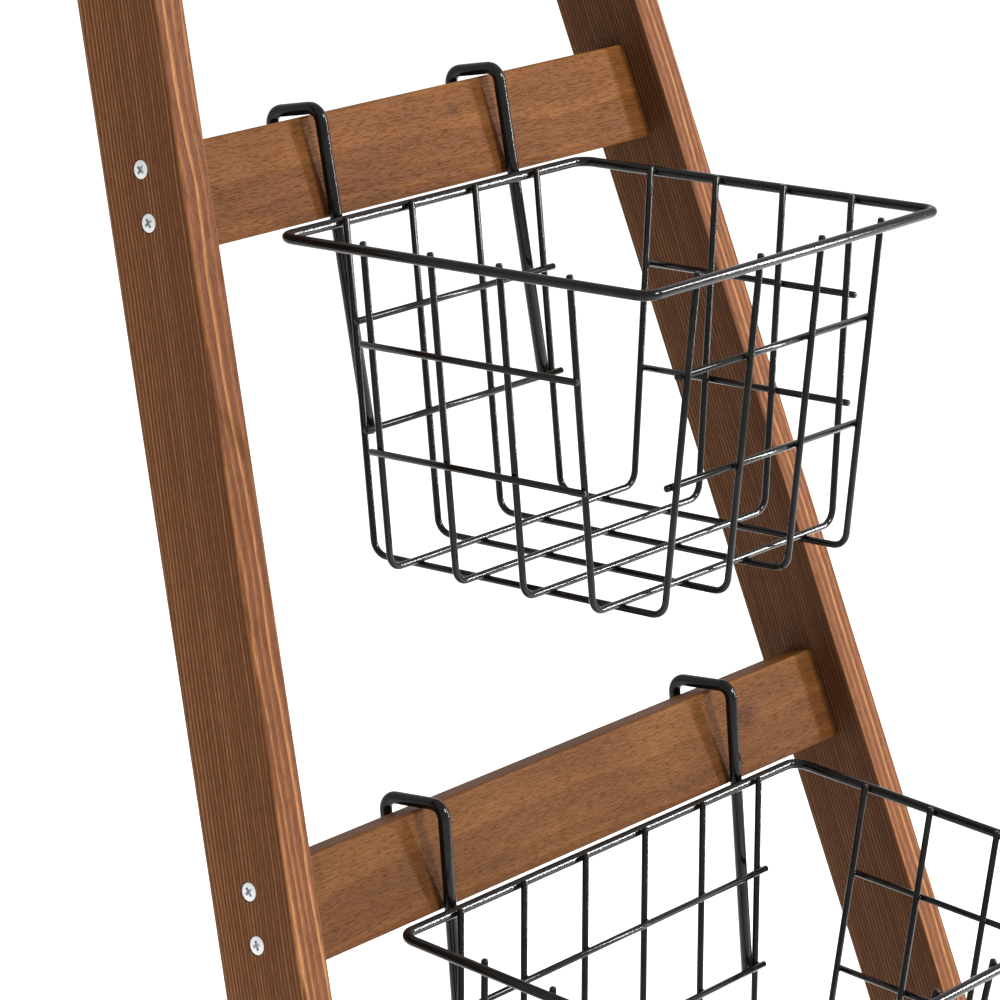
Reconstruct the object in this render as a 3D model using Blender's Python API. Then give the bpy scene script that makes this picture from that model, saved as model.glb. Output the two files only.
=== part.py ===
# Leaning ladder shelf: two tapering wooden rails, three rungs and three wire baskets that hang on the rungs.
# Metres, +Z up, -Y is the front. The origin lies on the floor against the wall, midway between the rails.

import bpy
import bmesh
from math import atan2, cos, pi, radians, sin, tan
from mathutils import Matrix, Vector

# ladder
LEAN = radians(17)              # rails lean back from the vertical
TAPER = radians(7)              # each rail leans in towards the other
TOP_HALF_WIDTH = 0.1515          # centre line to a rail's inner face, at the top rung
TIER = 0.296                    # rung to rung, along the ladder
FOOT_LENGTH = 0.330             # floor to the lowest rung, along the ladder
HEAD_LENGTH = 0.120             # top rung to the rails' top ends
RUNGS = 3
WALL_FLAT = 0.030               # height of the face that rests on the wall

RAIL_DEPTH = 0.045
RAIL_THICKNESS = 0.017
RUNG_HEIGHT = 0.044
RUNG_THICKNESS = 0.017
EASED_EDGE = 0.0016             # rounding of the boards' long edges
SAW_SPARE = 0.2                 # length that a rail's board has left to cut off

# countersunk cross-head screws, two through each rail into each rung's end
SCREW_PITCH = 0.022
SCREW_RISE = 0.0025             # the pair's middle lies above the rung's
SCREW_LENGTH = 0.045
SCREW_SHANK = 0.002             # radii
SCREW_HEAD = 0.004
SCREW_RIM = 0.0004              # straight edge of the head above its cone
SCREW_POINT = 0.004
SCREW_SUNK = 0.0002
CROSS_LENGTH = 0.0044
CROSS_WIDTH = 0.0011
CROSS_DEPTH = 0.0016

# wire, radii
RIM_WIRE = 0.00225
MESH_WIRE = 0.0015
HOOK_WIRE = 0.00275

# baskets
DEPTH = 0.192                   # rim, front to back on its centre line
HEIGHT = 0.143                  # rim to the lowest wires, on centre lines
CROSS_PITCH = 0.0428            # between the wires that run front to back
LONG_PITCH = 0.036              # between the wires that run left to right
LONG_WIRES = 4
SIDE_TAPER = 0.0175             # how far each face has come in at the bottom
BACK_TAPER = 0.016
FRONT_TAPER = 0.021
ROD_DROPS = (0.041, 0.088)      # rim to the two rods around each face
ROD_STUB = 0.003                # rods run past the last upright
RIM_BEND = 0.007
BASE_BEND = 0.007
WIRE_TOP = 0.0005               # uprights stand this far above the rim
HOOK_BEND = 0.006
HOOK_LIP = 0.014
HOOK_TAIL = 0.0035              # below the lower back rod

FIT = 0.0003                    # between touching pieces
LEG_FIT = 0.00045               # hooks' legs to the rim and rod that they lie across at an angle
WELD = 0.0004                   # how far crossing mesh wires sink into each other
LIP_PLAY = 0.0008               # behind the rung

WIRE_SIDES = 8
BEND_STEPS = 4
TURN_STEPS = 16

# rung: counted from the top; across: wires that run front to back; margin: last of them to the rim's end;
# raised: front above back; rise: hooks' tops above the rim, along their legs; shift: along the rung
BASKETS = (
    {
        "name": "upper_basket",
        "rung": 0,
        "across": 4,
        "margin": 0.0373,
        "raised": radians(1),
        "rise": 0.0479,
        "shift": -0.0110,
    },
    {
        "name": "middle_basket",
        "rung": 1,
        "across": 6,
        "margin": 0.0345,
        "raised": radians(-5),
        "rise": 0.0443,
        "shift": 0.0020,
    },
    {
        "name": "lower_basket",
        "rung": 2,
        "across": 8,
        "margin": 0.0345,
        "raised": radians(-3),
        "rise": 0.0460,
        "shift": -0.0030,
    },
)

TOP_RUNG = FOOT_LENGTH + (RUNGS - 1) * TIER
RAIL_TOP = TOP_RUNG + HEAD_LENGTH
WALL = RAIL_DEPTH / 2 * cos(LEAN) + RAIL_TOP * sin(LEAN) - WALL_FLAT * sin(LEAN) * cos(LEAN)
LEANING = Matrix.Rotation(-LEAN, 3, "X")


def clear_scene():
    for item in list(bpy.data.objects):
        bpy.data.objects.remove(item, do_unlink=True)


def finish(item, color, roughness, metallic, coat=0.0):
    material = bpy.data.materials.new(item.name + "_finish")
    material.use_nodes = True
    shader = material.node_tree.nodes["Principled BSDF"]
    shader.inputs["Base Color"].default_value = (*color, 1.0)
    shader.inputs["Roughness"].default_value = roughness
    shader.inputs["Metallic"].default_value = metallic
    shader.inputs["Coat Weight"].default_value = coat
    item.data.materials.clear()
    item.data.materials.append(material)


def rail_wood(item):
    finish(item, (0.155, 0.062, 0.026), 0.55, 0.0)


def rung_wood(item):
    finish(item, (0.300, 0.125, 0.045), 0.50, 0.0)


def zinc(item):
    finish(item, (0.75, 0.76, 0.78), 0.28, 1.0)


def black_wire(item):
    finish(item, (0.010, 0.010, 0.011), 0.22, 0.0, 0.6)


def add_object(name, data, parent=None):
    item = bpy.data.objects.new(name, data)
    bpy.context.scene.collection.objects.link(item)
    item.parent = parent
    return item


def add_mesh(name, bm, parent=None, smooth=False):
    bmesh.ops.recalc_face_normals(bm, faces=bm.faces)
    mesh = bpy.data.meshes.new(name)
    bm.to_mesh(mesh)
    bm.free()
    if smooth:
        mesh.shade_smooth()
        mesh.set_sharp_from_angle(angle=radians(35))
    return add_object(name, mesh, parent)


def as_cutter(item):
    item.hide_render = True
    item.display_type = "WIRE"
    return item


def cut_with(item, cutter):
    hole = item.modifiers.new(cutter.name, "BOOLEAN")
    hole.operation = "DIFFERENCE"
    hole.solver = "EXACT"
    hole.object = cutter


def half_width(along):
    # centre line to a rail's inner face, at a distance along the ladder
    return TOP_HALF_WIDTH + (TOP_RUNG - along) * tan(TAPER)


def rung_place(tier):
    return TOP_RUNG - tier * TIER


def rail_face(side, along, depth=0.0):
    # a point on a rail's inner face, and the face's direction out through the rail
    return Vector((side * half_width(along), depth, along)), Vector((side * cos(TAPER), 0, sin(TAPER)))


def board(size, axis):
    # a board with its long edges rounded
    bm = bmesh.new()
    bmesh.ops.create_cube(bm, size=1.0, matrix=Matrix.Diagonal((*size, 1.0)))
    long_edges = []
    for edge in bm.edges:
        if abs((edge.verts[0].co - edge.verts[1].co)[axis]) > size[axis] / 2:
            long_edges.append(edge)
    bmesh.ops.bevel(bm, geom=long_edges, offset=EASED_EDGE, segments=2, profile=0.5, affect="EDGES")
    return bm


def saw(bm, point, direction):
    # cuts off what lies beyond the plane and closes the end
    parts = bm.verts[:] + bm.edges[:] + bm.faces[:]
    bmesh.ops.bisect_plane(bm, geom=parts, dist=1e-7, plane_co=point, plane_no=direction, clear_outer=True)
    open_edges = [edge for edge in bm.edges if edge.is_boundary]
    bmesh.ops.holes_fill(bm, edges=open_edges, sides=0)


def build_rail(name, side, ladder):
    bm = board((RAIL_THICKNESS, RAIL_DEPTH, RAIL_TOP + SAW_SPARE), 2)
    middle = RAIL_TOP / 2
    point, outward = rail_face(side, middle)
    lean_in = Matrix.Rotation(-side * TAPER, 4, "Y")
    place = Matrix.Translation(point + outward * RAIL_THICKNESS / 2)
    bmesh.ops.transform(bm, matrix=place @ lean_in, verts=bm.verts)
    to_ladder = LEANING.transposed()
    saw(bm, Vector((0, 0, RAIL_TOP)), Vector((0, 0, 1)))
    saw(bm, Vector((0, 0, 0)), to_ladder @ Vector((0, 0, -1)))
    saw(bm, to_ladder @ Vector((0, WALL, 0)), to_ladder @ Vector((0, 1, 0)))
    rail = add_mesh(name, bm, ladder)
    rail_wood(rail)
    return rail


def build_rung(name, tier, ladder):
    along = rung_place(tier)
    length = 2 * half_width(along - RUNG_HEIGHT)
    bm = board((length, RUNG_THICKNESS, RUNG_HEIGHT), 0)
    bmesh.ops.translate(bm, verts=bm.verts, vec=(0, 0, along))
    for side in (-1, 1):
        point, outward = rail_face(side, along)
        saw(bm, point - outward * FIT, outward)
    rung = add_mesh(name, bm, ladder)
    rung_wood(rung)
    return rung


def screw_solid(extra, above):
    # turned about Z with its head up; extra widens it all round for the hole that it goes in
    head = SCREW_HEAD + extra
    shank = SCREW_SHANK + extra
    cone = SCREW_RIM + SCREW_HEAD - SCREW_SHANK
    outline = [
        (0, above),
        (head, above),
        (head, -SCREW_RIM - extra / 2),
        (shank, -cone - extra / 2),
        (shank, SCREW_POINT - SCREW_LENGTH),
        (0, -SCREW_LENGTH - extra),
    ]
    bm = bmesh.new()
    points = [bm.verts.new((radius, 0, height)) for radius, height in outline]
    edges = [bm.edges.new(pair) for pair in zip(points, points[1:])]
    bmesh.ops.spin(
        bm, geom=points + edges, cent=(0, 0, 0), axis=(0, 0, 1), angle=2 * pi, steps=TURN_STEPS, use_merge=True
    )
    bmesh.ops.remove_doubles(bm, verts=bm.verts, dist=1e-6)
    bmesh.ops.recalc_face_normals(bm, faces=bm.faces)
    return bm


def cross_solid():
    bm = bmesh.new()
    reach = CROSS_LENGTH / 2
    half = CROSS_WIDTH / 2
    outline = []
    for quarter in range(4):
        turn = Matrix.Rotation(quarter * pi / 2, 3, "Z")
        for x, y in ((reach, -half), (reach, half), (half, half)):
            outline.append(bm.verts.new(turn @ Vector((x, y, -CROSS_DEPTH))))
    face = bm.faces.new(outline)
    top = bmesh.ops.extrude_face_region(bm, geom=[face])
    moved = [part for part in top["geom"] if isinstance(part, bmesh.types.BMVert)]
    bmesh.ops.translate(bm, verts=moved, vec=(0, 0, 2 * CROSS_DEPTH))
    bmesh.ops.recalc_face_normals(bm, faces=bm.faces)
    return bm


def copies(name, solid, places, ladder):
    # one cutter that holds the solid at each of the places
    mesh = bpy.data.meshes.new(name + "_one")
    solid.to_mesh(mesh)
    solid.free()
    bm = bmesh.new()
    for place in places:
        start = len(bm.verts)
        bm.from_mesh(mesh)
        bm.verts.ensure_lookup_table()
        bmesh.ops.transform(bm, matrix=place, verts=bm.verts[start:])
    bpy.data.meshes.remove(mesh)
    return as_cutter(add_mesh(name, bm, ladder))


def screw_places():
    places = {}
    for tier in range(RUNGS):
        for side, side_name in ((-1, "left"), (1, "right")):
            for step, level in ((1, "top"), (-1, "low")):
                along = rung_place(tier) + SCREW_RISE + step * SCREW_PITCH / 2
                point, outward = rail_face(side, along)
                head = point + outward * (RAIL_THICKNESS - SCREW_SUNK)
                swing = Matrix.Rotation(side * (pi / 2 - TAPER), 4, "Y")
                drive = Matrix.Rotation(0.6 * len(places), 4, "Z")
                name = f"rung_{tier + 1}_{side_name}_screw_{level}"
                places[name] = Matrix.Translation(head) @ swing @ drive
    return places


def build_ladder():
    ladder = add_object("ladder", None)
    ladder.matrix_world = Matrix.Translation((0, -WALL, 0)) @ LEANING.to_4x4()
    places = screw_places()
    holes = copies("screw_holes", screw_solid(FIT, RAIL_THICKNESS / 2), places.values(), ladder)
    recesses = copies("screw_recesses", cross_solid(), places.values(), ladder)
    boards = [build_rail("left_rail", -1, ladder), build_rail("right_rail", 1, ladder)]
    for tier in range(RUNGS):
        boards.append(build_rung(f"rung_{tier + 1}", tier, ladder))
    for wooden in boards:
        cut_with(wooden, holes)
    for name, place in places.items():
        screw = add_mesh(name, screw_solid(0.0, 0.0), ladder, smooth=True)
        screw.matrix_basis = place
        zinc(screw)
        cut_with(screw, recesses)
    return ladder


def bend(corners, radius, closed=False):
    # a path through the corners, each turned into an arc of the given radius
    path = []
    count = len(corners)
    for index, corner in enumerate(corners):
        if not closed and index in (0, count - 1):
            path.append(corner)
            continue
        before = (corners[index - 1] - corner).normalized()
        after = (corners[(index + 1) % count] - corner).normalized()
        half_angle = before.angle(after) / 2
        centre = corner + (before + after).normalized() * radius / sin(half_angle)
        start = corner + before * radius / tan(half_angle) - centre
        end = corner + after * radius / tan(half_angle) - centre
        for step in range(BEND_STEPS + 1):
            path.append(centre + start.slerp(end, step / BEND_STEPS) * radius)
    return path


def wire_curve(name, path, radius, closed=False):
    curve = bpy.data.curves.new(name, "CURVE")
    curve.dimensions = "3D"
    curve.bevel_depth = radius
    curve.bevel_resolution = WIRE_SIDES // 2 - 2
    curve.resolution_u = 1
    curve.render_resolution_u = 0
    curve.use_fill_caps = not closed
    spline = curve.splines.new("POLY")
    spline.points.add(len(path) - 1)
    for point, place in zip(spline.points, path):
        point.co = (*place, 1.0)
    spline.use_cyclic_u = closed
    return curve


def add_wire(name, path, radius, basket, closed=False):
    item = add_object(name, wire_curve(name, path, radius, closed), basket)
    black_wire(item)
    return item


def add_wire_mesh(name, path, radius, basket):
    guide = add_object(name + "_path", wire_curve(name, path, radius))
    bm = bmesh.new()
    mesh = bpy.data.meshes.new_from_object(guide)
    bm.from_mesh(mesh)
    bpy.data.meshes.remove(mesh)
    bpy.data.objects.remove(guide, do_unlink=True)
    bmesh.ops.remove_doubles(bm, verts=bm.verts, dist=1e-6)
    return add_mesh(name, bm, basket, smooth=True)


def inset(drop, at_bottom):
    # how far a face's uprights stand inside the rim, at a distance below it
    at_rim = RIM_WIRE + MESH_WIRE + FIT
    return at_rim + (at_bottom - at_rim) * drop / HEIGHT


def half_length(plan):
    return (plan["across"] - 1) / 2 * CROSS_PITCH + plan["margin"]


def spread(count, pitch):
    return [(index - (count - 1) / 2) * pitch for index in range(count)]


def build_cage(plan, basket):
    # mesh wires bent into a U: those that run front to back lie below those that run left to right
    name = plan["name"] + "_cage"
    top = RIM_WIRE + WIRE_TOP
    half = half_length(plan)
    paths = []
    for x in spread(plan["across"], CROSS_PITCH):
        corners = [
            Vector((x, -inset(-top, BACK_TAPER), top)),
            Vector((x, -BACK_TAPER, -HEIGHT)),
            Vector((x, FRONT_TAPER - DEPTH, -HEIGHT)),
            Vector((x, inset(-top, FRONT_TAPER) - DEPTH, top)),
        ]
        paths.append(bend(corners, BASE_BEND))
    drop = HEIGHT - 2 * MESH_WIRE + WELD
    for y in spread(LONG_WIRES, LONG_PITCH):
        top_x = half - inset(-top, SIDE_TAPER)
        low_x = half - inset(drop, SIDE_TAPER)
        corners = [
            Vector((-top_x, y - DEPTH / 2, top)),
            Vector((-low_x, y - DEPTH / 2, -drop)),
            Vector((low_x, y - DEPTH / 2, -drop)),
            Vector((top_x, y - DEPTH / 2, top)),
        ]
        paths.append(bend(corners, BASE_BEND))
    cage = add_wire_mesh(name, paths[0], MESH_WIRE, basket)
    others = bpy.data.collections.new(name + "_wires")
    for number, path in enumerate(paths[1:]):
        wire = as_cutter(add_wire_mesh(f"{name}_wire_{number}", path, MESH_WIRE, basket))
        others.objects.link(wire)
    welds = cage.modifiers.new("welds", "BOOLEAN")
    welds.operation = "UNION"
    welds.solver = "EXACT"
    welds.operand_type = "COLLECTION"
    welds.collection = others
    black_wire(cage)


def build_rods(plan, basket):
    # two straight rods on each face: inside the uprights at back and front, outside them at the ends
    name = plan["name"]
    half = half_length(plan)
    beside = 2 * MESH_WIRE + FIT
    for level, drop in zip(("upper", "lower"), ROD_DROPS):
        reach = (plan["across"] - 1) / 2 * CROSS_PITCH + ROD_STUB
        back = -inset(drop, BACK_TAPER) - beside
        front = inset(drop, FRONT_TAPER) - DEPTH + beside
        for face, y in (("back", back), ("front", front)):
            ends = [Vector((-reach, y, -drop)), Vector((reach, y, -drop))]
            add_wire(f"{name}_{face}_rod_{level}", ends, MESH_WIRE, basket)
        reach = (LONG_WIRES - 1) / 2 * LONG_PITCH + ROD_STUB
        outside = half - inset(drop, SIDE_TAPER) + beside
        for face, side in (("left", -1), ("right", 1)):
            ends = [Vector((side * outside, y - DEPTH / 2, -drop)) for y in (reach, -reach)]
            add_wire(f"{name}_{face}_rod_{level}", ends, MESH_WIRE, basket)


def leg_line():
    # the hooks' legs pass behind the rim and end on the lower back rod
    behind_rim = RIM_WIRE + HOOK_WIRE + LEG_FIT
    rod = -inset(ROD_DROPS[1], BACK_TAPER) - 2 * MESH_WIRE - FIT
    behind_rod = rod + MESH_WIRE + HOOK_WIRE + LEG_FIT
    angle = atan2(behind_rim - behind_rod, ROD_DROPS[1])
    return behind_rim, angle


def hook_frame(plan):
    # in the YZ plane: unit vectors up the legs and back along the hooks' tops, and the rung's corners
    angle = leg_line()[1] + plan["raised"]
    up = Vector((0, sin(angle), cos(angle)))
    back = Vector((0, cos(angle), -sin(angle)))
    corners = {}
    for face, depth in (("front", -RUNG_THICKNESS / 2), ("back", RUNG_THICKNESS / 2)):
        for level, rise in (("top", RUNG_HEIGHT / 2), ("low", -RUNG_HEIGHT / 2)):
            corner = LEANING @ Vector((0, depth, rung_place(plan["rung"]) + rise))
            corners[face + "_" + level] = corner - Vector((0, WALL, 0))
    return up, back, corners


def hook_span(plan):
    # leg to lip: the rung as the hook sees it, leaning more than the leg does, and the wire
    back, corners = hook_frame(plan)[1:]
    rung_seen = (corners["back_top"] - corners["front_low"]).dot(back)
    return rung_seen + 2 * HOOK_WIRE + FIT + LIP_PLAY


def basket_place(plan):
    # legs rest on the rung's lower front edge and the tops of the hooks on its upper front edge
    up, back, corners = hook_frame(plan)
    leg = corners["front_low"].dot(back) - HOOK_WIRE - FIT
    crown = corners["front_top"].dot(up) + HOOK_WIRE + FIT
    turn = Matrix.Rotation(-plan["raised"], 4, "X")
    start = turn.to_3x3() @ Vector((0, leg_line()[0], 0))
    aside = Vector((plan["shift"], 0, 0))
    return Matrix.Translation(aside + back * leg + up * (crown - plan["rise"]) - start) @ turn


def build_hooks(plan, basket):
    behind_rim, angle = leg_line()
    up = Vector((0, sin(angle), cos(angle)))
    back = Vector((0, cos(angle), -sin(angle)))
    start = Vector((0, behind_rim, 0))
    crown = start + up * plan["rise"]
    lip = crown + back * hook_span(plan)
    tail = (ROD_DROPS[1] + HOOK_TAIL) / cos(angle)
    beside_upright = (plan["across"] - 1) / 2 * CROSS_PITCH - MESH_WIRE - HOOK_WIRE - FIT
    for side_name, side in (("left", -1), ("right", 1)):
        aside = Vector((side * beside_upright, 0, 0))
        path = [aside + corner for corner in (lip - up * HOOK_LIP, lip, crown, start - up * tail)]
        add_wire(f"{plan['name']}_{side_name}_hook", bend(path, HOOK_BEND), HOOK_WIRE, basket)


def build_rim(plan, basket):
    half = half_length(plan)
    corners = [Vector((-half, 0, 0)), Vector((half, 0, 0)), Vector((half, -DEPTH, 0)), Vector((-half, -DEPTH, 0))]
    add_wire(plan["name"] + "_rim", bend(corners, RIM_BEND, closed=True), RIM_WIRE, basket, closed=True)


def build_basket(plan):
    basket = add_object(plan["name"], None)
    basket.matrix_world = basket_place(plan)
    build_rim(plan, basket)
    build_cage(plan, basket)
    build_rods(plan, basket)
    build_hooks(plan, basket)


def main():
    clear_scene()
    build_ladder()
    for plan in BASKETS:
        build_basket(plan)


main()
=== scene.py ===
from math import atan2, cos, pi, radians, sin, tan

import bmesh
import bpy
import numpy as np
from mathutils import Matrix, Vector


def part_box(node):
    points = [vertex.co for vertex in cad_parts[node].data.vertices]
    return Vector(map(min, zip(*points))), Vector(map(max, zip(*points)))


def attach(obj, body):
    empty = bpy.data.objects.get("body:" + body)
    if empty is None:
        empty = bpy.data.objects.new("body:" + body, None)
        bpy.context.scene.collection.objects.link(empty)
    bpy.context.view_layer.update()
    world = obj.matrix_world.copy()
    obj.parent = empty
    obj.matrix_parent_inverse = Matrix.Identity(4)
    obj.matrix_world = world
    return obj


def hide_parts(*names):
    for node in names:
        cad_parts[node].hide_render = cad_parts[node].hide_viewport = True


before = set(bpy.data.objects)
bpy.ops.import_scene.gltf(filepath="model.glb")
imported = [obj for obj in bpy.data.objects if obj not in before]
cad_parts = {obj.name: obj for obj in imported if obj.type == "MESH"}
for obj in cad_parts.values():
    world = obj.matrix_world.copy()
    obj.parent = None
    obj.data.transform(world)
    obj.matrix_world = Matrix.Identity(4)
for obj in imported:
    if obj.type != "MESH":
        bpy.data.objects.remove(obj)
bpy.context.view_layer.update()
scene = bpy.context.scene
print("frame loaded:", len(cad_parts), "nodes")


class Term:  # a socket that can be used in arithmetic
    def __init__(self, graph, socket):
        self.graph = graph
        self.socket = socket

    def __add__(self, other):
        return self.graph.math("ADD", self, other)

    def __radd__(self, other):
        return self.graph.math("ADD", other, self)

    def __sub__(self, other):
        return self.graph.math("SUBTRACT", self, other)

    def __rsub__(self, other):
        return self.graph.math("SUBTRACT", other, self)

    def __mul__(self, other):
        return self.graph.math("MULTIPLY", self, other)

    def __rmul__(self, other):
        return self.graph.math("MULTIPLY", other, self)

    def __truediv__(self, other):
        return self.graph.math("DIVIDE", self, other)

    def __rtruediv__(self, other):
        return self.graph.math("DIVIDE", other, self)

    def __pow__(self, other):
        return self.graph.math("POWER", self, other)

    def __abs__(self):
        return self.graph.math("ABSOLUTE", self)


class Graph:  # one material's nodes
    def __init__(self, name):
        self.material = bpy.data.materials.new(name)
        self.material.use_nodes = True
        self.tree = self.material.node_tree
        self.tree.nodes.clear()

    def node(self, kind, settings=None, sockets=None, output=0):
        made = self.tree.nodes.new(kind)
        for key, value in (settings or {}).items():
            if key == "stops":
                while len(made.color_ramp.elements) < len(value):
                    made.color_ramp.elements.new(0.5)
                for element, (position, color) in zip(made.color_ramp.elements, value):
                    element.position = position
                    element.color = (*color, 1.0)
            else:
                setattr(made, key, value)
        for key, value in (sockets or {}).items():
            if isinstance(value, Term):
                self.tree.links.new(value.socket, made.inputs[key])
            else:
                made.inputs[key].default_value = value
        return Term(self, made.outputs[output]) if len(made.outputs) else None

    def math(self, operation, *values):
        return self.node("ShaderNodeMath", {"operation": operation}, dict(enumerate(values)))

    def step(self, value, low, high):  # smooth from 0 at low to 1 at high
        sockets = {"Value": value, "From Min": low, "From Max": high}
        return self.node("ShaderNodeMapRange", {"interpolation_type": "SMOOTHSTEP"}, sockets)

    def stretch(self, vector, scale, shift=(0, 0, 0)):
        return self.node("ShaderNodeMapping", {}, {"Vector": vector, "Scale": scale, "Location": shift})

    def noise(self, vector, detail=2.0, roughness=0.5, distortion=0.0):
        sockets = {"Vector": vector, "Scale": 1.0, "Detail": detail, "Roughness": roughness}
        sockets["Distortion"] = distortion
        return self.node("ShaderNodeTexNoise", {}, sockets)

    def mix(self, factor, one, other, blend="MIX"):
        settings = {"data_type": "RGBA", "blend_type": blend}
        colors = [value if isinstance(value, Term) else (*value, 1.0) for value in (one, other)]
        return self.node("ShaderNodeMix", settings, {0: factor, 6: colors[0], 7: colors[1]}, 2)

    def scaled(self, color, factor):
        return self.node("ShaderNodeVectorMath", {"operation": "SCALE"}, {0: color, "Scale": factor})

    def finish(self, fixed, varying, bump=None):
        sockets = {**fixed, **varying}
        if bump:
            height, distance = bump
            relief = {"Height": height, "Distance": distance, "Strength": 1.0}
            sockets["Normal"] = self.node("ShaderNodeBump", {}, relief)
        shader = self.node("ShaderNodeBsdfPrincipled", {}, sockets)
        self.node("ShaderNodeOutputMaterial", {}, {"Surface": shader})
        return self.material


ladder = {
    "lean": radians(17),
    "taper": radians(7),
    "railSize": (0.017, 0.045),      # thickness and depth
    "rungSize": (0.017, 0.044),      # thickness and height
}

woodLook = {
    "dark": (0.150, 0.058, 0.027),
    "mid": (0.250, 0.108, 0.047),
    "light": (0.420, 0.215, 0.105),
    "roughness": 0.55,
    "specular": 0.08,
    "bump": 0.00035,
}


def boardTurn(name):
    # board frame: x through the thickness, y across the face, z along the grain
    lean = Matrix.Rotation(-ladder["lean"], 3, "X")
    if name == "left_rail":
        return lean @ Matrix.Rotation(ladder["taper"], 3, "Y")
    if name == "right_rail":
        return lean @ Matrix.Rotation(-ladder["taper"], 3, "Y")
    alongRung = Matrix(((0, 0, 1), (-1, 0, 0), (0, 1, 0))).to_3x3()
    return lean @ alongRung


def makeWood(name, size, grain):
    g = Graph(name + "_stain")
    turn = boardTurn(name)
    low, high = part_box(name)
    centre = (low + high) / 2
    raw = g.node("ShaderNodeTexCoord", output="Object")
    place = {"Vector": raw, "Location": centre, "Rotation": turn.to_euler("XYZ")}
    board = g.node("ShaderNodeMapping", {"vector_type": "TEXTURE"}, place)
    apart = g.node("ShaderNodeSeparateXYZ", {}, {0: board})
    x, y, z = (Term(g, socket) for socket in apart.socket.node.outputs)
    seed = grain["seed"]

    # growth rings round a pith beside the board, wandering a little along it
    sway = g.noise(g.stretch(board, (9, 9, 3.2), (seed, 0, 0)), 2.0, 0.45)
    waver = g.noise(g.stretch(board, (60, 60, 14), (0, seed, 0)), 2.0, 0.5)
    reach = grain["pith"]
    fromPith = ((x - reach * sin(grain["slant"])) ** 2.0 + (y - reach * cos(grain["slant"])) ** 2.0) ** 0.5
    ring = (fromPith + (sway - 0.5) * grain["sway"] + (waver - 0.5) * 0.0022) / grain["spacing"]
    within = g.math("FRACT", ring)
    whole = g.math("FLOOR", ring)
    each = g.node("ShaderNodeTexWhiteNoise", {"noise_dimensions": "1D"}, {"W": whole}, 0)
    line = g.step(within, 0.35, 0.86) * (1.0 - g.step(within, 0.90, 1.0)) * (0.35 + 0.65 * each)

    # fibres, pores and broad patches where the stain took more
    fibre = g.noise(g.stretch(board, (1500, 1500, 38), (seed, seed, 0)), 3.0, 0.6)
    broken = g.noise(g.stretch(board, (700, 700, 120), (0, 0, seed)), 2.0, 0.55)
    pore = g.step(g.noise(g.stretch(board, (3000, 3000, 190), (seed, 0, seed)), 1.5, 0.5), 0.54, 0.72)
    patch = g.noise(g.stretch(board, (34, 34, 13), (seed, 2, 0)), 3.0, 0.55)
    cloud = g.noise(g.stretch(board, (7, 7, 3), (0, seed, 5)), 1.0, 0.5)

    knotShade = 0.0
    for along, across, reachOut in grain["knots"]:
        off = ((z - along) * 0.55) ** 2.0 + (y - across) ** 2.0
        knotShade = knotShade + (1.0 - g.step(off ** 0.5 + (waver - 0.5) * reachOut, 0.0, reachOut))

    tone = line * grain["lines"] * (0.55 + 0.9 * broken) + (fibre - 0.5) * grain["fibres"]
    tone = tone + (patch - 0.5) * grain["patches"] + (cloud - 0.5) * grain["clouds"] + grain["base"]
    tone = tone - pore * grain["pores"] - knotShade * 0.55
    edge = g.step(abs(x), size[0] / 2 - 0.0022, size[0] / 2) * g.step(abs(y), size[1] / 2 - 0.0022, size[1] / 2)
    tone = tone + edge * (0.05 + 0.25 * broken)
    stops = [(0.0, woodLook["dark"]), (0.45, woodLook["mid"]), (1.0, woodLook["light"])]
    color = g.node("ShaderNodeValToRGB", {"stops": stops}, {"Fac": tone})

    # the sawn ends drink more stain
    onEnd = g.node("ShaderNodeAttribute", {"attribute_name": "sawnEnd"}, {}, 2)
    color = g.node("ShaderNodeVectorMath", {"operation": "MULTIPLY"}, {0: color, 1: grain["tint"]})
    # painted shade: the face toward the rungs is darkened in its colour to stand in for the shade that face
    # lies in
    paintedShadeMask = g.step(0.0 - x, size[0] / 2 - 0.0009, size[0] / 2 - 0.0001)
    endShade = 1.0 - 0.35 * onEnd
    color = g.scaled(color, endShade * (1.0 - (1.0 - grain["inner"]) * paintedShadeMask))
    height = line * 0.35 + fibre * 0.6 + broken * 0.3 - pore * 0.5
    rough = woodLook["roughness"] + (fibre - 0.5) * 0.25 + pore * 0.12
    fixed = {"Specular IOR Level": woodLook["specular"]}
    return g.finish(fixed, {"Base Color": color, "Roughness": rough}, (height, woodLook["bump"]))


railGrain = {
    "spacing": 0.0017, "pith": 0.16, "slant": radians(24), "sway": 0.010, "lines": 1.1, "fibres": 0.65,
    "patches": 0.25, "clouds": 0.30, "base": 0.04, "pores": 0.12, "knots": (),
    "inner": 1.0, "tint": (0.62, 0.54, 0.42), "seed": 1.7,
}
rungGrain = {
    "spacing": 0.0034, "pith": 0.07, "slant": radians(78), "sway": 0.012, "lines": 0.24, "fibres": 0.85,
    "patches": 0.80, "clouds": 0.25, "base": 0.34, "pores": 0.16, "knots": (),
    "inner": 1.0, "tint": (0.41, 0.326, 0.16), "seed": 4.2,
}
boards = {
    "left_rail": {**railGrain},
    # painted shade: the right rail's face toward the rungs has its colour darkened to 0.55
    "right_rail": {**railGrain, "seed": 6.1, "slant": radians(-28), "inner": 0.55},
    "rung_1": {**rungGrain, "knots": ((-0.022, 0.010, 0.0035),)},
    "rung_2": {**rungGrain, "seed": 9.4, "tint": (0.357, 0.293, 0.15), "knots": ((-0.125, 0.004, 0.006),)},
    "rung_3": {**rungGrain, "seed": 12.8, "tint": (0.37, 0.305, 0.155), "knots": ((0.06, -0.006, 0.004),)},
}


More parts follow.
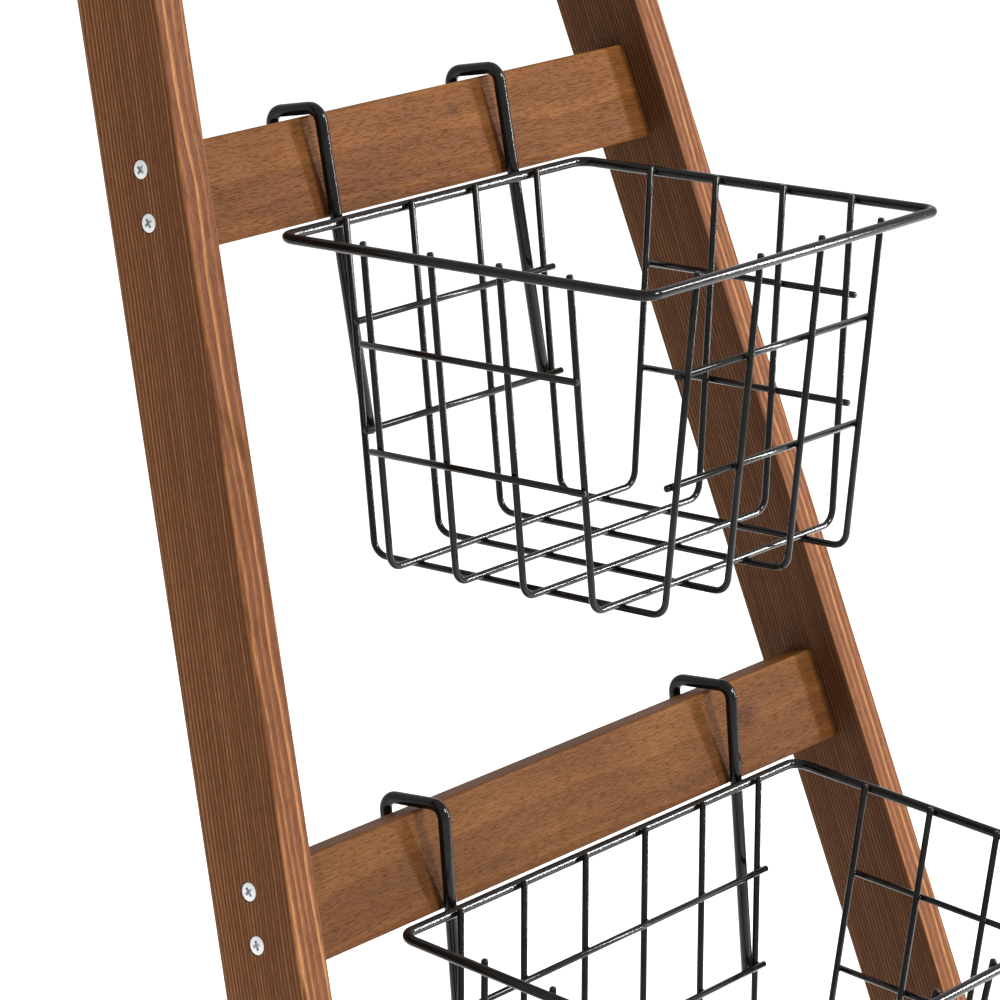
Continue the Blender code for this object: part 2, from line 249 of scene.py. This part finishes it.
def cleanCopy(node):
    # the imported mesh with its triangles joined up
    bm = bmesh.new()
    bm.from_mesh(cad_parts[node].data)
    bmesh.ops.remove_doubles(bm, verts=bm.verts, dist=1e-6)
    bmesh.ops.dissolve_limit(bm, angle_limit=radians(0.4), verts=bm.verts, edges=bm.edges)
    return bm


def addPiece(name, bm, body, material, nodes, sharp=35):
    mesh = bpy.data.meshes.new(name)
    bm.to_mesh(mesh)
    bm.free()
    mesh.shade_smooth()
    mesh.set_sharp_from_angle(angle=radians(sharp))
    piece = bpy.data.objects.new(name, mesh)
    scene.collection.objects.link(piece)
    mesh.materials.append(material)
    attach(piece, body)
    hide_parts(*nodes)
    return piece


def markSawnEnds(board, grainWay):
    marks = board.data.attributes.new("sawnEnd", "FLOAT", "FACE")
    for face in board.data.polygons:
        marks.data[face.index].value = float(abs(face.normal.dot(grainWay)) > 0.75)


def buildBoards():
    for name, grain in boards.items():
        isRail = name.endswith("rail")
        size = ladder["railSize" if isRail else "rungSize"]
        material = makeWood(name, size, grain)
        board = addPiece(name + "_board", cleanCopy(name), "ladder", material, [name], 50)
        markSawnEnds(board, boardTurn(name) @ Vector((0, 0, 1)))
        even = board.modifiers.new("even", "WEIGHTED_NORMAL")
        even.keep_sharp = True
    print("boards stained:", len(boards))


screw = {
    "headRadius": 0.004,
    "rim": 0.0005,
    "shank": 0.002,
    "length": 0.045,
    "crossReach": 0.0028,
    "crossWidth": 0.0013,
    "crossDepth": 0.0018,
    "steps": 48,
}


def makeZinc():
    g = Graph("screw_zinc")
    raw = g.node("ShaderNodeTexCoord", output="Object")
    cloud = g.noise(g.stretch(raw, (900, 900, 900)), 3.0, 0.6)
    scuff = g.noise(g.stretch(raw, (5200, 900, 5200)), 2.0, 0.6)
    color = g.mix(cloud, (0.56, 0.57, 0.59), (0.80, 0.81, 0.82))
    rough = 0.22 + cloud * 0.16 + scuff * 0.12
    return g.finish({"Metallic": 0.92}, {"Base Color": color, "Roughness": rough}, (scuff + cloud, 0.00003))


def screwPlace(node):
    points = np.array([v.co[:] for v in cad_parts[node].data.vertices])
    middle = (points.max(0) + points.min(0)) / 2
    axis = np.linalg.svd(points - points.mean(0), full_matrices=False)[2][0]
    along = (points - middle) @ axis
    spread = np.linalg.norm(points - middle - np.outer(along, axis), axis=1)
    if along[spread.argmax()] < 0:
        axis, along = -axis, -along
    disc = points[along > along.max() - 0.0009]
    centre = Vector((disc.max(0) + disc.min(0)) / 2)
    tip = Vector(points[along < along.min() + 0.0005].mean(0))
    axis = (centre - tip).normalized()
    top = max((Vector(p) - centre).dot(axis) for p in points)
    return centre + axis * top, axis


def buildScrews():
    material = makeZinc()
    names = sorted(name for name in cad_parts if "screw" in name)
    for index, name in enumerate(names):
        s = screw
        bm = bmesh.new()
        outline = [
            (0, 0), (s["headRadius"] - 0.0004, 0),
            (s["headRadius"] - 0.0001, -0.0001), (s["headRadius"], -0.0003),
            (s["headRadius"], -s["rim"]), (s["shank"], -s["rim"] - s["headRadius"] + s["shank"]),
            (s["shank"], 0.004 - s["length"]), (0, -s["length"]),
        ]
        verts = [bm.verts.new((r, 0, h)) for r, h in outline]
        edges = [bm.edges.new(pair) for pair in zip(verts, verts[1:])]
        bmesh.ops.spin(bm, geom=verts + edges, axis=(0, 0, 1), angle=2 * pi, steps=s["steps"], use_merge=True)
        bmesh.ops.remove_doubles(bm, verts=bm.verts, dist=1e-6)
        bmesh.ops.recalc_face_normals(bm, faces=bm.faces)
        head, axis = screwPlace(name)
        place = Matrix.Translation(head) @ axis.to_track_quat("Z", "Y").to_matrix().to_4x4()
        place = place @ Matrix.Rotation(0.7 + 1.9 * index, 4, "Z")
        bmesh.ops.transform(bm, matrix=place, verts=bm.verts)
        piece = addPiece(name + "_zinc", bm, "ladder", material, [name], 30)
        drive = bmesh.new()
        for quarter in range(4):
            arm = bmesh.ops.create_cube(drive, size=1.0)["verts"]
            bmesh.ops.scale(drive, vec=(s["crossReach"], s["crossWidth"], 2 * s["crossDepth"]), verts=arm)
            bmesh.ops.translate(drive, vec=(s["crossReach"] / 2, 0, 0), verts=arm)
            for v in arm:
                if v.co.z < 0:
                    v.co.x *= 0.55
            bmesh.ops.rotate(drive, matrix=Matrix.Rotation(quarter * pi / 2, 3, "Z"), verts=arm)
        bmesh.ops.transform(drive, matrix=place, verts=drive.verts)
        mesh = bpy.data.meshes.new("drive")
        drive.to_mesh(mesh)
        drive.free()
        cutter = bpy.data.objects.new("drive", mesh)
        scene.collection.objects.link(cutter)
        recess = piece.modifiers.new("recess", "BOOLEAN")
        recess.operation = "DIFFERENCE"
        recess.solver = "EXACT"
        recess.use_self = True
        recess.object = cutter
        bpy.context.view_layer.update()
        cut = bpy.data.meshes.new_from_object(piece.evaluated_get(bpy.context.evaluated_depsgraph_get()))
        piece.modifiers.clear()
        piece.data = cut
        bpy.data.objects.remove(cutter)
    print("screws driven:", len(names))


wireSizes = {"rim": 0.00225, "mesh": 0.0015, "hook": 0.00275, "sides": 16, "bendSteps": 8}

basketShape = {
    "depth": 0.192,
    "height": 0.143,
    "crossPitch": 0.0428,
    "longPitch": 0.036,
    "sideTaper": 0.0175,
    "backTaper": 0.016,
    "frontTaper": 0.021,
    "drops": (0.041, 0.088),
    "stub": 0.003,
    "bend": 0.007,
    "hookBend": 0.006,
    "top": 0.00275,
    "gap": 0.0003,
    "weld": 0.0004,
    "legFit": 0.00045,
    "nugget": 0.00125,
}

baskets = {
    "upper_basket": {"across": 4, "margin": 0.0373},
    "middle_basket": {"across": 6, "margin": 0.0345},
    "lower_basket": {"across": 8, "margin": 0.0345},
}


def makeCoating(name, seed):
    g = Graph(name)
    raw = g.node("ShaderNodeTexCoord", output="Object")
    peel = g.noise(g.stretch(raw, (420, 420, 420), (seed, 0, 0)), 2.0, 0.5)
    fine = g.noise(g.stretch(raw, (2400, 2400, 2400), (0, seed, 0)), 2.0, 0.5)
    dust = g.noise(g.stretch(raw, (55, 55, 55), (0, 0, seed)), 3.0, 0.6)
    color = g.mix(g.step(dust, 0.35, 0.8), (0.0035, 0.0032, 0.0030), (0.009, 0.0085, 0.008))
    rough = 0.06 + peel * 0.06 + dust * 0.06
    fixed = {"Specular IOR Level": 0.2}
    return g.finish(fixed, {"Base Color": color, "Roughness": rough}, (peel + fine * 0.25, 0.00005))


def ringEdges(verts):
    return list({edge for v in verts for edge in v.link_edges if edge.other_vert(v) in verts})


def extrudeRing(bm, verts, move, scale=1.0):
    made = bmesh.ops.extrude_edge_only(bm, edges=ringEdges(set(verts)))
    ring = [v for v in made["geom"] if isinstance(v, bmesh.types.BMVert)]
    bmesh.ops.translate(bm, verts=ring, vec=move)
    if scale != 1.0:
        centre = sum((v.co for v in ring), Vector()) / len(ring)
        bmesh.ops.scale(bm, verts=ring, vec=(scale, scale, scale), space=Matrix.Translation(-centre))
    return ring


def runWire(bm, corners, radius, bend, closed=False):
    # a round wire led through the corners, with a bend at each
    sides, steps = wireSizes["sides"], wireSizes["bendSteps"]
    points = list(corners)
    if closed:
        points = [(points[0] + points[-1]) / 2, *points, (points[0] + points[-1]) / 2]
    heading = (points[1] - points[0]).normalized()
    place = Matrix.Translation(points[0]) @ heading.to_track_quat("Z", "Y").to_matrix().to_4x4()
    tip = 1.0 if closed else 0.72
    made = bmesh.ops.create_circle(bm, cap_ends=not closed, radius=radius * tip, segments=sides, matrix=place)
    ring = list(made["verts"])
    at = points[0].copy()
    if not closed:
        ring = extrudeRing(bm, ring, heading * radius * 0.3, 1 / tip)
        at += heading * radius * 0.3
    for before, corner, after in zip(points, points[1:], points[2:]):
        turned = (after - corner).normalized()
        angle = heading.angle(turned)
        run = bend * tan(angle / 2)
        start = corner - heading * run
        ring = extrudeRing(bm, ring, start - at)
        inward = (turned - heading).normalized()
        centre = corner + inward * bend / cos(angle / 2)
        spun = bmesh.ops.spin(
            bm, geom=ring + ringEdges(set(ring)), cent=centre, axis=heading.cross(turned).normalized(),
            angle=angle, steps=steps,
        )
        ring = [v for v in spun["geom_last"] if isinstance(v, bmesh.types.BMVert)]
        at = corner + turned * run
        heading = turned
    end = points[-1]
    if closed:
        extrudeRing(bm, ring, end - at)
    else:
        ring = extrudeRing(bm, ring, end - at - heading * radius * 0.3)
        ring = extrudeRing(bm, ring, heading * radius * 0.3, tip)
        bmesh.ops.contextual_create(bm, geom=ringEdges(set(ring)))


def wirePiece(node, body, material, runs, radius, bend, frameOf, closed=False):
    bm = bmesh.new()
    for corners in runs:
        one = bmesh.new()
        runWire(one, [frameOf @ Vector(corner) for corner in corners], radius, bend, closed)
        bmesh.ops.remove_doubles(one, verts=one.verts, dist=1e-6)
        bmesh.ops.recalc_face_normals(one, faces=one.faces)
        mesh = bpy.data.meshes.new("run")
        one.to_mesh(mesh)
        one.free()
        bm.from_mesh(mesh)
        bpy.data.meshes.remove(mesh)
    return addPiece(node + "_coated", bm, body, material, [node], 50)


def cornersOf(node):
    return np.array([v.co[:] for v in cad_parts[node].data.vertices])


def basketFrame(name):
    # the rim's back tube at its middle, x along the rung, z up out of the basket
    rod = cornersOf(name + "_left_rod_upper")
    front = rod[rod[:, 1] < rod[:, 1].mean()].mean(0)
    back = rod[rod[:, 1] > rod[:, 1].mean()].mean(0)
    yAxis = Vector(back - front).normalized()
    xAxis = Vector((1, 0, 0))
    turn = Matrix((xAxis, yAxis, xAxis.cross(yAxis))).transposed()
    rim = cornersOf(name + "_rim")
    middle = Vector((rim.max(0) + rim.min(0)) / 2)
    return Matrix.Translation(middle + yAxis * basketShape["depth"] / 2) @ turn.to_4x4()


def hookRun(node, at):
    # the lip's end, the crown's two corners and the leg's foot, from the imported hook
    local = np.array([(at.inverted() @ Vector(point))[:] for point in cornersOf(node)])
    across = (local[:, 0].max() + local[:, 0].min()) / 2
    foot = local[local[:, 2] < local[:, 2].min() + 0.001][:, 1:].mean(0)
    behindRim = wireSizes["rim"] + wireSizes["hook"] + basketShape["legFit"]
    angle = atan2(behindRim - foot[0], -foot[1])
    up, back = Vector((0, sin(angle), cos(angle))), Vector((0, cos(angle), -sin(angle)))
    start = Vector((across, behindRim, 0))
    alongUp = (local - np.array(start)) @ np.array(up)
    alongBack = (local - np.array(start)) @ np.array(back)
    rise, span = alongUp.max() - wireSizes["hook"], alongBack.max() - wireSizes["hook"]
    lipEnd = alongUp[alongBack > span - 0.0005].min()
    lip = start + back * span
    return [lip + up * lipEnd, lip + up * rise, start + up * rise, start + up * alongUp.min()], start


def buildBasket(name, plan, seed):
    b, w = basketShape, wireSizes
    material = makeCoating(name + "_coating", seed)
    at = basketFrame(name)
    across = [(i - (plan["across"] - 1) / 2) * b["crossPitch"] for i in range(plan["across"])]
    long = [(i - 1.5) * b["longPitch"] - b["depth"] / 2 for i in range(4)]
    half = across[-1] + plan["margin"]
    atRim = w["rim"] + w["mesh"] + b["gap"]

    def inset(drop, bottom):
        return atRim + (bottom - atRim) * drop / b["height"]

    corners = [(-half, 0, 0), (half, 0, 0), (half, -b["depth"], 0), (-half, -b["depth"], 0)]
    wirePiece(name + "_rim", name, material, [corners], w["rim"], b["bend"], at, True)

    runs = []
    top, low = b["top"], b["height"]
    for x in across:
        runs.append([
            (x, -inset(-top, b["backTaper"]), top), (x, -b["backTaper"], -low),
            (x, b["frontTaper"] - b["depth"], -low), (x, inset(-top, b["frontTaper"]) - b["depth"], top),
        ])
    over = low - 2 * w["mesh"] + b["weld"]
    for y in long:
        topX, lowX = half - inset(-top, b["sideTaper"]), half - inset(over, b["sideTaper"])
        runs.append([(-topX, y, top), (-lowX, y, -over), (lowX, y, -over), (topX, y, top)])
    wirePiece(name + "_cage", name, material, runs, w["mesh"], b["bend"], at)

    beads = [(x, y, -low + w["mesh"]) for x in across for y in long]
    beside = 2 * w["mesh"] + b["gap"]
    for level, drop in zip(("upper", "lower"), b["drops"]):
        reach = across[-1] + b["stub"]
        backY = -inset(drop, b["backTaper"]) - beside
        frontY = inset(drop, b["frontTaper"]) - b["depth"] + beside
        for face, y, lean in (("back", backY, 1), ("front", frontY, -1)):
            run = [(-reach, y, -drop), (reach, y, -drop)]
            wirePiece(f"{name}_{face}_rod_{level}", name, material, [run], w["mesh"], b["bend"], at)
            beads += [(x, y + lean * beside / 2, -drop) for x in across]
        reach = 1.5 * b["longPitch"] + b["stub"]
        outside = half - inset(drop, b["sideTaper"]) + beside
        for face, side in (("left", -1), ("right", 1)):
            run = [(side * outside, way * reach - b["depth"] / 2, -drop) for way in (1, -1)]
            wirePiece(f"{name}_{face}_rod_{level}", name, material, [run], w["mesh"], b["bend"], at)
            beads += [(side * (outside - beside / 2), y, -drop) for y in long]
    inside = w["rim"] + b["gap"] / 2
    beads += [(x, -inside, 0.0004) for x in across] + [(x, inside - b["depth"], 0.0004) for x in across]
    beads += [(side * (half - inside), y, 0.0004) for side in (-1, 1) for y in long]

    for side in ("left", "right"):
        node = f"{name}_{side}_hook"
        run, start = hookRun(node, at)
        wirePiece(node, name, material, [run], w["hook"], b["hookBend"], at)
        beads.append(tuple(start + Vector((0, -w["hook"] - 0.0002, 0))))

    bm = bmesh.new()
    for bead in beads:
        blob = bmesh.ops.create_icosphere(bm, subdivisions=2, radius=basketShape["nugget"])["verts"]
        bmesh.ops.translate(bm, verts=blob, vec=at @ Vector(bead))
    addPiece(name + "_welds", bm, name, material, [], 60)
    print(name, "wired with", len(beads), "welds")


studio = {
    "azimuth": radians(-50.95),
    "elevation": radians(16.01),
    "offset": (-1.4748, -1.24592, 0.39207),   # from the top rung's middle
    "lens": 162.0,
    "world": 0.85,
    "key": {
        "azimuth": radians(18), "elevation": radians(38), "distance": 3.0, "size": (0.7, 0.7),
        "power": 100,
    },
    "strip": {
        "azimuth": radians(52), "elevation": radians(20), "distance": 2.6, "size": (0.08, 1.8),
        "power": 80,
    },
}


def direction(azimuth, elevation):
    return Vector((sin(azimuth) * cos(elevation), -cos(azimuth) * cos(elevation), sin(elevation)))


def addLight(name, plan, target):
    data = bpy.data.lights.new(name, "AREA")
    data.shape = "RECTANGLE"
    data.size, data.size_y = plan["size"]
    data.energy = plan["power"]
    lamp = bpy.data.objects.new(name, data)
    scene.collection.objects.link(lamp)
    away = direction(plan["azimuth"], plan["elevation"])
    lamp.location = target + away * plan["distance"]
    lamp.rotation_euler = away.to_track_quat("Z", "Y").to_euler()


def buildStudio():
    low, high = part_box("rung_1")
    target = (low + high) / 2
    data = bpy.data.cameras.new("camera")
    data.lens = studio["lens"]
    data.sensor_width = 36.0
    data.clip_end = 200.0
    camera = bpy.data.objects.new("camera", data)
    scene.collection.objects.link(camera)
    back = direction(studio["azimuth"], studio["elevation"])
    right = Vector((cos(studio["azimuth"]), sin(studio["azimuth"]), 0))
    turn = Matrix((right, back.cross(right), back)).transposed()
    camera.matrix_world = Matrix.Translation(target + Vector(studio["offset"])) @ turn.to_4x4()
    scene.camera = camera

    world = bpy.data.worlds.new("studio")
    world.use_nodes = True
    world.node_tree.nodes["Background"].inputs["Color"].default_value = (1.0, 1.0, 1.0, 1.0)
    world.node_tree.nodes["Background"].inputs["Strength"].default_value = studio["world"]
    scene.world = world
    scene.view_settings.view_transform = "Standard"
    middle = Vector((0, -0.2, 0.55))
    addLight("key", studio["key"], middle)
    addLight("strip", studio["strip"], middle)

    bm = bmesh.new()
    bmesh.ops.create_grid(bm, x_segments=4, y_segments=4, size=30.0)
    mesh = bpy.data.meshes.new("floor")
    bm.to_mesh(mesh)
    bm.free()
    floor = bpy.data.objects.new("floor", mesh)
    scene.collection.objects.link(floor)
    g = Graph("floor_white")
    raw = g.node("ShaderNodeTexCoord", output="Object")
    grey = g.noise(g.stretch(raw, (3, 3, 3)), 2.0, 0.5)
    color = g.mix(grey, (0.90, 0.90, 0.90), (0.93, 0.93, 0.93))
    fixed = {"Roughness": 0.9, "Emission Strength": 0.35, "Emission Color": (1.0, 1.0, 1.0, 1.0)}
    mesh.materials.append(g.finish(fixed, {"Base Color": color}))
    print("studio set")


buildBoards()
buildScrews()
for index, (basketName, basketPlan) in enumerate(baskets.items()):
    buildBasket(basketName, basketPlan, 1.3 + 2.7 * index)
buildStudio()
